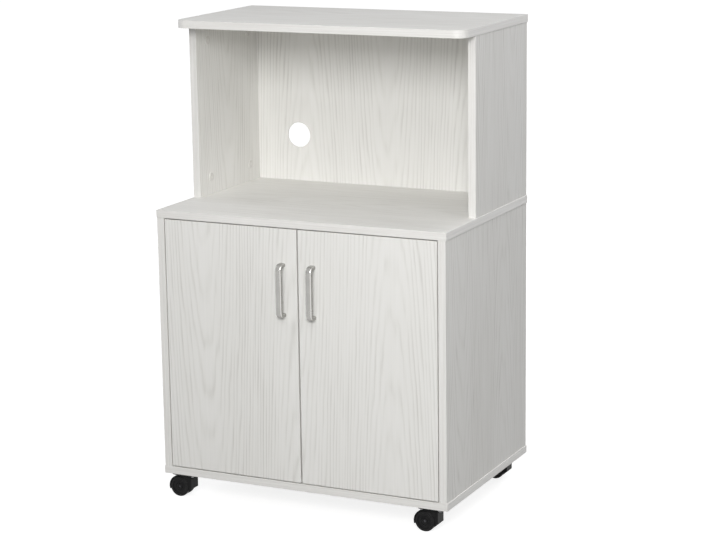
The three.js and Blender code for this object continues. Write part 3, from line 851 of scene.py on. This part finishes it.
@dataclass
class Boards(SubAssembly):
    """All melamine boards, doors and back panels, with veneer, edge bands and soft arrises."""

    board: float = 15 * MM  # thickness
    panel: float = 3 * MM
    arris: float = 0.55 * MM  # rounding of the banded edges
    panel_arris: float = 0.2 * MM
    facet: float = 0.2 * MM  # how far a round corner's facets may stray from its radius
    square_on: float = 0.9  # least part of a main face's normal that is across the board
    far_shift: float = 23 * MM  # between the figures on a board's two faces
    edge_shift: float = 31 * MM  # between those on edges that look along different axes
    next_board: float = 0.37  # from board to board, in the noises' third coordinate

    def plan(self) -> list:
        """Lists every board.

        Returns:
            The boards.
        """
        flat = [
            Board("top_board", "carcass", Axis.Z, Axis.X, 40 * MM, 1, 25 * MM),
            Board("cabinet_top", "carcass", Axis.Z, Axis.X, -35 * MM, -1),
            Board("cabinet_bottom", "carcass", Axis.Z, Axis.X, 60 * MM),
            Board("middle_shelf", "carcass", Axis.Z, Axis.X, 20 * MM, -1),
        ]
        upright = [
            Board(f"{part}_{side.word}", "carcass", Axis.X, Axis.Z, side.value * place * MM, way)
            for side in Side
            for part, place, way in (("hutch_side", 30, -1), ("cabinet_side", 55, 1))
        ]
        doors = [
            Board("door_left", "door_left", Axis.Y, Axis.Z, -56 * MM, -1),
            Board("door_right", "door_right", Axis.Y, Axis.Z, 50 * MM, 1),
        ]
        backs = [
            Board(
                f"{part}_back", "carcass", Axis.Y, Axis.Z, place * MM, slot="back_panel", back=True
            )
            for part, place in (("hutch", -176), ("cabinet", 30))
        ]
        return flat + upright + doors + backs

    def build(self) -> None:
        """Dresses every board."""
        for number, board in enumerate(self.plan()):
            self.dress(board, number)

    def slab(self, board: Board) -> tuple:
        """The board's own box, without the fittings that stand out of it.

        Args:
            board: The board.

        Returns:
            Its lowest and highest corners.
        """
        low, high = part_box(board.node)
        if board.node.startswith("hutch_side"):
            low.z, high.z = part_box("cabinet_top")[1].z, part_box("top_board")[0].z
        if board.node.startswith("cabinet_side"):
            low.z, high.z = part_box("cabinet_bottom")[1].z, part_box("cabinet_top")[0].z
        return low, high

    def arrises(self, board: Board, bm: BMesh) -> list:
        """Finds the long outer edges of a board.

        Args:
            board: The board.
            bm: Its mesh.

        Returns:
            The edges.
        """
        low, high = self.slab(board)
        thickness = self.panel if board.back else self.board
        thin = board.thin.value
        spread = [a.value for a in Axis if a is not board.thin]
        outside = high[thin] if abs(high[thin]) > abs(low[thin]) else low[thin]
        inward = -1 if outside > (low[thin] + high[thin]) / 2 else 1
        planes = (outside, outside + inward * thickness)

        def on_rim(point: Vector) -> bool:
            """Tells whether a point is on the board's outline.

            Args:
                point: The point.

            Returns:
                True if it is.
            """
            if any(min(abs(point[i] - low[i]), abs(point[i] - high[i])) < TINY for i in spread):
                return True
            if not board.corner:
                return False
            middle = Vector((math.copysign(high.x - board.corner, point.x), low.y + board.corner))
            reach = (point.xy - middle).length
            return point.y < middle.y and abs(reach - board.corner) < self.facet

        def is_arris(edge: BMEdge) -> bool:
            """Tells whether an edge is one that gets rounded.

            Args:
                edge: The edge.

            Returns:
                True if it is.
            """
            if not edge.is_manifold or edge.calc_face_angle() < SQUARE:
                return False
            points = [v.co for v in edge.verts]
            flat = any(all(abs(p[thin] - plane) < TINY for p in points) for plane in planes)
            return all(on_rim(p) for p in points) and (flat or not board.corner)

        return [e for e in bm.edges if is_arris(e)]

    def lay_grain(self, board: Board, number: int, bm: BMesh) -> None:
        """Writes the grain attribute and each face's material.

        Args:
            board: The board.
            number: A different number for each board.
            bm: Its mesh.
        """
        layer = bm.loops.layers.float_vector.new(GRAIN)
        low, high = self.slab(board)
        middle = (low + high) / 2
        for face in bm.faces:
            normal = [abs(c) for c in face.normal]
            facing = Axis(normal.index(max(normal)))
            spread = [a for a in Axis if a is not facing]
            if facing is board.thin and normal[facing.value] > self.square_on:
                along, across = board.grain, board.across
                face.material_index = 2 if board.back and face.normal.y > 0 else 0
                offset, way = board.heart, board.way
            else:
                along = max(spread, key=lambda a: high[a.value] - low[a.value])
                across = next(a for a in spread if a is not along)
                face.material_index = 1
                offset, way = facing.value * self.edge_shift, 1
            if facing is board.thin and face.normal[facing.value] > 0:
                offset += 0.0 if board.body.startswith("door") else self.far_shift
            for loop in face.loops:
                place = loop.vert.co - middle
                loop[layer] = Vector(
                    (place[across.value] - offset, way * place[along.value],
                     number * self.next_board)
                )

    def dress(self, board: Board, number: int) -> None:
        """Replaces a board's node by its dressed copy.

        Args:
            board: The board.
            number: A different number for each board.
        """
        bm = node_mesh(self.nodes[board.node])
        bevelled(bm, self.arrises(board, bm), self.panel_arris if board.back else self.arris)
        bm.normal_update()
        self.lay_grain(board, number, bm)
        face = self.finishes.panel if board.back else self.finishes.face
        piece = as_object(
            board.node + "_dressed", bm, face, self.finishes.band, self.finishes.hardboard
        )
        self.keep(piece, board.body, board.slot, board.node)


@dataclass
class Caps(SubAssembly):
    """White covers pressed into the cam fittings on the inner faces of the uprights."""

    radius: float = 8.7 * MM
    thickness: float = 1.3 * MM
    sides: int = 40
    edge: float = 0.5 * MM  # rounding of the rim, and width and depth of the dimple's slope
    bore: float = 2.2 * MM  # radius of the small dimple in the middle
    cam_distance: float = 34 * MM  # from the boards above and below
    cabinet_in: float = 37 * MM  # from the front and rear edges of the cabinet's uprights
    hutch_front_in: float = 45 * MM
    hutch_rear_in: float = 50 * MM

    def build(self) -> None:
        """Makes the cap once and sets a copy on every cam."""
        shape = self.cap_mesh()
        uprights = (
            ("hutch_side", "cabinet_top", "top_board", self.hutch_front_in, self.hutch_rear_in),
            ("cabinet_side", "cabinet_bottom", "cabinet_top", self.cabinet_in, self.cabinet_in),
        )
        for side in Side:
            turn = Matrix.Rotation(side.value * -math.pi / 2, 4, "Y")
            for part, below, above, front_in, rear_in in uprights:
                node = f"{part}_{side.word}"
                low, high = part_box(node)
                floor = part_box(below)[1].z + self.cam_distance
                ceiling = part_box(above)[0].z - self.cam_distance
                for y, where in ((low.y + front_in, "front"), (high.y - rear_in, "rear")):
                    for z, level in ((floor, "lower"), (ceiling, "upper")):
                        place = Matrix.Translation((self.inner_face(node, side), y, z))
                        mesh = shape.copy()
                        mesh.transform(place @ turn)
                        piece = in_scene(f"cap_{node}_{where}_{level}", mesh)
                        self.keep(piece, "carcass", "fittings")
        bpy.data.meshes.remove(shape)

    def cap_mesh(self) -> Mesh:
        """Makes a shallow domed cap with a dimple, lying on z = 0 and facing up.

        Returns:
            The mesh.
        """
        bm = bmesh.new()
        bmesh.ops.create_circle(bm, cap_ends=True, segments=self.sides, radius=self.radius)
        top = bmesh.ops.extrude_face_region(bm, geom=bm.faces[:])["geom"]
        bmesh.ops.translate(bm, verts=picked(top, BMVert), vec=(0, 0, self.thickness))
        rim = [e for e in bm.edges if all(v.co.z > self.thickness / 2 for v in e.verts)]
        bevelled(bm, rim, self.edge, 3)
        lid = max(bm.faces, key=lambda f: f.calc_center_median().z)
        bmesh.ops.inset_region(bm, faces=[lid], thickness=self.radius - self.edge - self.bore)
        bmesh.ops.inset_region(bm, faces=[lid], thickness=self.edge, depth=-self.edge)
        made = as_object("cap_shape", bm, self.finishes.cap)
        mesh = made.data
        bpy.data.objects.remove(made)
        return mesh


@dataclass
class Handles(SubAssembly):
    """The two bow handles: a flat crowned grip on two legs, bent in one sweep."""

    leg: float = 8 * MM
    grip: float = 7 * MM
    section_corner: float = 2.6 * MM
    section_steps: int = 4
    bend: float = 12 * MM  # outer radius
    bend_steps: int = 12
    slant: tuple = (0.3, 0.9)  # least and most of a corner's normal that is sideways; those faces get the smoother, lighter nickel, whose lighter colour is a painted highlight
    seam: float = 0.01 * MM  # vertices closer than this at the middle are merged

    def build(self) -> None:
        """Makes both handles."""
        for side in Side:
            node = f"handle_{side.word}"
            bm = self.bow(*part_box(node))
            bm.normal_update()
            for face in bm.faces:
                # The sideways corners take the lighter nickel: a painted highlight along the
                # grip's edges
                face.material_index = int(self.is_corner(face))
            piece = as_object(node + "_dressed", bm, self.finishes.nickel, self.finishes.bright)
            self.keep(piece, f"door_{side.word}", "handle", node)

    def is_corner(self, face: BMFace) -> bool:
        """Tells the corners of the section, polished and lighter in colour as a painted highlight,
        from its brushed faces.

        Args:
            face: A face of the bow.

        Returns:
            True for a corner.
        """
        least, most = self.slant
        return least < abs(face.normal.x) < most

    def bow(self, low: Vector, high: Vector) -> BMesh:
        """Sweeps a rounded section up one leg, round the bend and along to the middle, twice.

        Args:
            low: The lowest corner of the handle's box.
            high: Its highest corner.

        Returns:
            The mesh.
        """
        middle = (low + high) / 2
        half = (high.z - low.z) / 2
        bm = bmesh.new()
        turn = Matrix.Rotation(math.pi / 2, 4, "X")
        bmesh.ops.create_grid(bm, x_segments=1, y_segments=1, size=0.5, matrix=turn)
        bmesh.ops.scale(bm, verts=bm.verts, vec=(high.x - low.x, 1, self.leg))
        foot = Vector((middle.x, high.y, middle.z + half - self.leg / 2))
        bmesh.ops.translate(bm, verts=bm.verts, vec=foot)
        bmesh.ops.bevel(
            bm, geom=bm.verts[:], offset=self.section_corner, segments=self.section_steps,
            profile=0.5, affect="VERTICES", material=-1,
        )
        section = self.pulled(bm, bm.faces[:], (0, low.y + self.bend - high.y, 0))
        centre = Vector((middle.x, low.y + self.bend, middle.z + half - self.bend))
        bent = bmesh.ops.spin(
            bm, geom=section + self.rim(section), cent=centre, axis=(1, 0, 0), angle=math.pi / 2,
            steps=self.bend_steps, use_merge=False, use_duplicate=False,
        )
        section = picked(bent["geom_last"], BMFace)
        self.thin_out(section, low.y)
        section = self.pulled(bm, section, (0, 0, middle.z - centre.z))
        bmesh.ops.delete(bm, geom=section, context="FACES_ONLY")
        mirrored = bmesh.ops.duplicate(bm, geom=bm.verts[:] + bm.edges[:] + bm.faces[:])
        other = picked(mirrored["geom"], BMVert)
        bmesh.ops.scale(bm, verts=other, vec=(1, 1, -1), space=Matrix.Translation(-middle))
        bmesh.ops.remove_doubles(bm, verts=bm.verts, dist=self.seam)
        return bm

    def rim(self, faces: list) -> list:
        """The edges and vertices of faces.

        Args:
            faces: The faces.

        Returns:
            Their edges and vertices, without repeats.
        """
        return list({e for f in faces for e in f.edges} | {v for f in faces for v in f.verts})

    def pulled(self, bm: BMesh, faces: list, way: tuple) -> list:
        """Extrudes a section in a straight line.

        Args:
            bm: The mesh.
            faces: The section.
            way: How far it goes.

        Returns:
            The section at its new place.
        """
        out = bmesh.ops.extrude_face_region(bm, geom=faces)["geom"]
        bmesh.ops.translate(bm, verts=picked(out, BMVert), vec=way)
        bmesh.ops.delete(bm, geom=faces, context="FACES_ONLY")
        return picked(out, BMFace)

    def thin_out(self, section: list, front: float) -> None:
        """Thins the section from the leg's thickness to the grip's, from its inner side.

        Args:
            section: The section.
            front: The y of the grip's front.
        """
        for vert in {v for f in section for v in f.verts}:
            vert.co.y = front + (vert.co.y - front) * self.grip / self.leg


@dataclass
class Hinges(SubAssembly):
    """Cup hinges: pressed cups, gooseneck links and arms, with the screws' heads."""

    round_off: float = 0.25 * MM
    cup_screw_in: float = 27 * MM  # from the cup's inner side, nearest the cart's side
    cup_spacing: float = 45 * MM
    arm_screw_in: float = 52 * MM  # from the cart's front
    arm_spacing: float = 32 * MM
    arm_plate: float = 2 * MM  # thickness
    pull_head: tuple = (4 * MM, 2.4 * MM)  # radius and height of a handle screw's head

    def build(self) -> None:
        """Dresses the four hinges and the handles' screws."""
        for side in Side:
            for level in ("lower", "upper"):
                where = f"{side.word}_{level}"
                door = f"door_{side.word}"
                for node, body, heads in (
                    ("hinge_cup_", door, self.cup_heads(where, side)),
                    ("hinge_link_", f"hinge_links_{side.word}", ()),
                    ("hinge_arm_", "carcass", self.arm_heads(where, side)),
                    ("handle_screw_", door, self.handle_head(where)),
                ):
                    self.dressed(
                        node + where, body, "fittings", self.finishes.zinc, self.round_off, heads
                    )

    def cup_heads(self, where: str, side: Side) -> tuple:
        """The heads on a cup's flange.

        Args:
            where: The end of the node's name.
            side: The cart's half.

        Returns:
            Two heads.
        """
        low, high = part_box("hinge_cup_" + where)
        edge = low.x if side is Side.LEFT else high.x
        x = edge - side.value * self.cup_screw_in
        y = high.y - PanHead.height
        middle = (low.z + high.z) / 2
        places = [Vector((x, y, middle + way * self.cup_spacing / 2)) for way in (-1, 1)]
        return tuple(PanHead(place, Vector((0, 1, 0))) for place in places)

    def arm_heads(self, where: str, side: Side) -> tuple:
        """The heads on an arm's mounting plate.

        Args:
            where: The end of the node's name.
            side: The cart's half.

        Returns:
            Two heads.
        """
        upright = f"cabinet_side_{side.word}"
        x = self.inner_face(upright, side) - side.value * self.arm_plate
        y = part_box(upright)[0].y + self.arm_screw_in
        low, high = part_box("hinge_arm_" + where)
        middle = (low.z + high.z) / 2
        places = [Vector((x, y, middle + way * self.arm_spacing / 2)) for way in (-1, 1)]
        return tuple(PanHead(place, Vector((-side.value, 0, 0))) for place in places)

    def handle_head(self, where: str) -> tuple:
        """The head of a handle's screw, on the door's back.

        Args:
            where: The end of the node's name.

        Returns:
            One head.
        """
        low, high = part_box("handle_screw_" + where)
        radius, height = self.pull_head
        seat = Vector(((low.x + high.x) / 2, high.y - height, (low.z + high.z) / 2))
        return (PanHead(seat, Vector((0, 1, 0)), radius, height),)


@dataclass
class Fixings(SubAssembly):
    """Shelf pins."""

    round_off: float = 0.2 * MM

    def build(self) -> None:
        """Dresses the shelf's four pins."""
        for side in Side:
            for end in End:
                node = f"shelf_pin_{side.word}_{end.word}"
                self.dressed(node, "carcass", "fittings", self.finishes.zinc, self.round_off)


@dataclass
class Casters(SubAssembly):
    """Four twin-wheel casters: plate, hood, axle and wheels."""

    steel_round: float = 0.3 * MM
    hood_round: float = 0.6 * MM
    segments: int = 72
    edge: float = 1.5 * MM
    edge_steps: int = 5
    inner_edge: float = 0.45 * MM  # the flatter part of the tread's corner beside the hood
    rim: float = 5 * MM
    dish: float = 1.6 * MM
    slope: float = 0.4 * MM  # of the step from the rim into the dish
    hub: float = 5.5 * MM
    hub_edge: float = 0.5 * MM
    axle: float = 2.5 * MM
    rib: float = 1.4 * MM  # width of the raised ring in the dish
    ring: tuple = (3.0, 2.6, 1.9, 1.5)  # its feet and top, from outside in, in ribs from the hub
    plate: float = 2.5 * MM  # thickness
    plate_screw_out: float = 18.5 * MM  # screws, from the swivel axis along x and y

    def build(self) -> None:
        """Dresses every caster."""
        for end in End:
            for side in Side:
                name = f"caster_{end.word}_{side.word}"
                for part, body, slot, material, round_off, heads in (
                    ("_mount", "carcass", "caster_plate", self.finishes.plate, self.steel_round,
                     self.plate_heads(name)),
                    ("_hood", name, "caster_plastic", self.finishes.hood, self.hood_round, ()),
                    ("_axle", name, "fittings", self.finishes.axle, self.steel_round, ()),
                ):
                    self.dressed(name + part, body, slot, material, round_off, heads)
                for letter, way in (("a", -1), ("b", 1)):
                    self.wheel(f"{name}_wheel_{letter}", way)

    def plate_heads(self, name: str) -> tuple:
        """The heads under a caster's plate.

        Args:
            name: The start of the caster's node names.

        Returns:
            Four heads.
        """
        low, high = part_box(name + "_mount")
        middle = (low + high) / 2
        middle.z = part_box("cabinet_bottom")[0].z - self.plate
        corners = [Vector((x, y, 0)) * self.plate_screw_out for x in (-1, 1) for y in (-1, 1)]
        return tuple(PanHead(middle + corner, Vector((0, 0, -1))) for corner in corners)

    def wheel(self, node: str, way: int) -> None:
        """Makes one wheel by turning its profile.

        Args:
            node: The wheel's node and body.
            way: 1 where its outer face looks to the rear, -1 to the front.
        """
        low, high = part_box(node)
        middle = (low + high) / 2
        radius = (high.z - low.z) / 2
        thick = high.y - low.y
        inner = low.y if way > 0 else high.y
        lip, floor, crest = radius - self.rim, thick - self.dish, thick - self.dish / 2
        foot_out, top_out, top_in, foot_in = (self.hub + ribs * self.rib for ribs in self.ring)
        turns = (i * math.pi / 2 / self.edge_steps for i in range(self.edge_steps + 1))
        corner = [
            (radius - self.edge * (1 - math.cos(a)), thick - self.edge * (1 - math.sin(a)))
            for a in turns
        ]
        profile = [
            (self.axle, 0), (radius - self.edge, 0), (radius - self.inner_edge, self.inner_edge),
            (radius, self.edge), *corner, (lip, thick), (lip - self.slope, thick - self.slope),
            (lip - 2 * self.slope, floor), (foot_out, floor), (top_out, crest), (top_in, crest),
            (foot_in, floor), (self.hub + self.rib / 2, floor), (self.hub, thick - self.slope),
            (self.hub - self.hub_edge, thick), (self.axle, thick),
        ]
        bm = bmesh.new()
        verts = [bm.verts.new((middle.x + r, inner + way * d, middle.z)) for r, d in profile]
        edges = [bm.edges.new(pair) for pair in zip(verts, verts[1:] + verts[:1])]
        bmesh.ops.spin(
            bm, geom=verts + edges, cent=middle, axis=(0, 1, 0), angle=math.tau,
            steps=self.segments, use_merge=True, use_duplicate=False,
        )
        self.keep(as_object(node + "_dressed", bm, self.finishes.wheel), node, "wheel", node)


# ---- Studio ----------------------------------------------------------------------------------


@dataclass(frozen=True)
class Lamp:
    """A rectangular soft lamp that looks at the cart."""

    name: str
    place: tuple  # metres
    size: tuple  # metres
    power: float  # watts
    colour: str = "#ffffff"

    def build(self, target: Vector) -> None:
        """Sets the lamp up.

        Args:
            target: Where it points.
        """
        data = bpy.data.lights.new(self.name, "AREA")
        data.shape = "RECTANGLE"
        data.size, data.size_y = self.size
        data.energy = self.power
        data.color = to_linear(self.colour)[:3]
        lamp = in_scene(self.name, data)
        lamp.location = self.place
        lamp.rotation_euler = (target - Vector(self.place)).to_track_quat("-Z", "Y").to_euler()


@dataclass
class Studio:
    """Floor, daylight, lamps and the camera."""

    focal: float = 107.5  # millimetres
    sensor: float = 36.0  # millimetres
    camera_place: tuple = (1.7910, -3.6485, 1.3390)
    forward: tuple = (-0.42393, 0.87984, -0.21523)
    roll: float = -0.81  # degrees
    ambient: float = 0.15
    floor_size: float = 60.0  # metres
    lamps: tuple = (
        Lamp("key_softbox", (1.25, -3.0, 1.95), (1.0, 0.9), 53.0),
        Lamp("front_softbox", (0.8, -2.2, 1.3), (1.0, 0.9), 12.0),
        Lamp("high_softbox", (0.2, -2.0, 2.8), (1.6, 1.2), 17.0),
        Lamp("side_softbox", (2.4, -0.8, 2.3), (1.4, 1.4), 14.5),
        Lamp("left_softbox", (-3.4, 0.5, 1.9), (1.8, 1.6), 45.0, "#f8f9ff"),
        Lamp("rear_softbox", (1.2, 3.4, 1.9), (2.2, 1.8), 58.0, "#f8f9ff"),
    )

    def build(self) -> None:
        """Builds everything round the cart."""
        self.build_floor()
        self.build_daylight()
        low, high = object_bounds()
        for lamp in self.lamps:
            lamp.build((low + high) / 2)
        self.build_camera()

    def build_floor(self) -> None:
        """Lays the floor."""
        bm = bmesh.new()
        bmesh.ops.create_grid(bm, x_segments=2, y_segments=2, size=self.floor_size / 2)
        as_object("studio_floor", bm, StudioFloor("studio_paper").build())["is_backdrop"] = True

    def build_daylight(self) -> None:
        """Sets an even light, and a white background for the camera and for reflections."""
        world = bpy.data.worlds.new("studio_daylight")
        bpy.context.scene.world = world
        world.use_nodes = True
        tree = world.node_tree
        seen = background_rays(tree)
        level = tree.nodes.new("ShaderNodeMapRange")
        level.inputs["To Min"].default_value = self.ambient
        level.inputs["To Max"].default_value = 1.0
        tree.links.new(seen, level.inputs["Value"])
        backdrop = tree.nodes["Background"]
        backdrop.inputs["Color"].default_value = (1, 1, 1, 1)
        tree.links.new(level.outputs[0], backdrop.inputs["Strength"])

    def build_camera(self) -> None:
        """Sets the camera where the photograph was taken from."""
        data = bpy.data.cameras.new("camera")
        data.sensor_width = self.sensor
        data.lens = self.focal
        camera = in_scene("camera", data)
        camera.location = self.camera_place
        aim = Vector(self.forward).to_track_quat("-Z", "Y").to_matrix()
        roll = Matrix.Rotation(math.radians(self.roll), 3, "Z")
        camera.rotation_euler = (aim @ roll).to_euler()
        scene = bpy.context.scene
        scene.camera = camera
        scene.view_settings.view_transform = "Standard"


def main() -> None:
    """Dresses the cart and sets the studio up."""
    logging.basicConfig(level=logging.INFO)
    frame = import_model()
    finishes = Finishes()
    for kind in (Boards, Caps, Handles, Hinges, Fixings, Casters):
        part = kind(frame["nodes"], finishes)
        part.build()
        for piece in part.pieces:
            log.info("%s: %s", kind.__name__, piece.name)
    Studio().build()


if __name__ == "__main__":
    main()
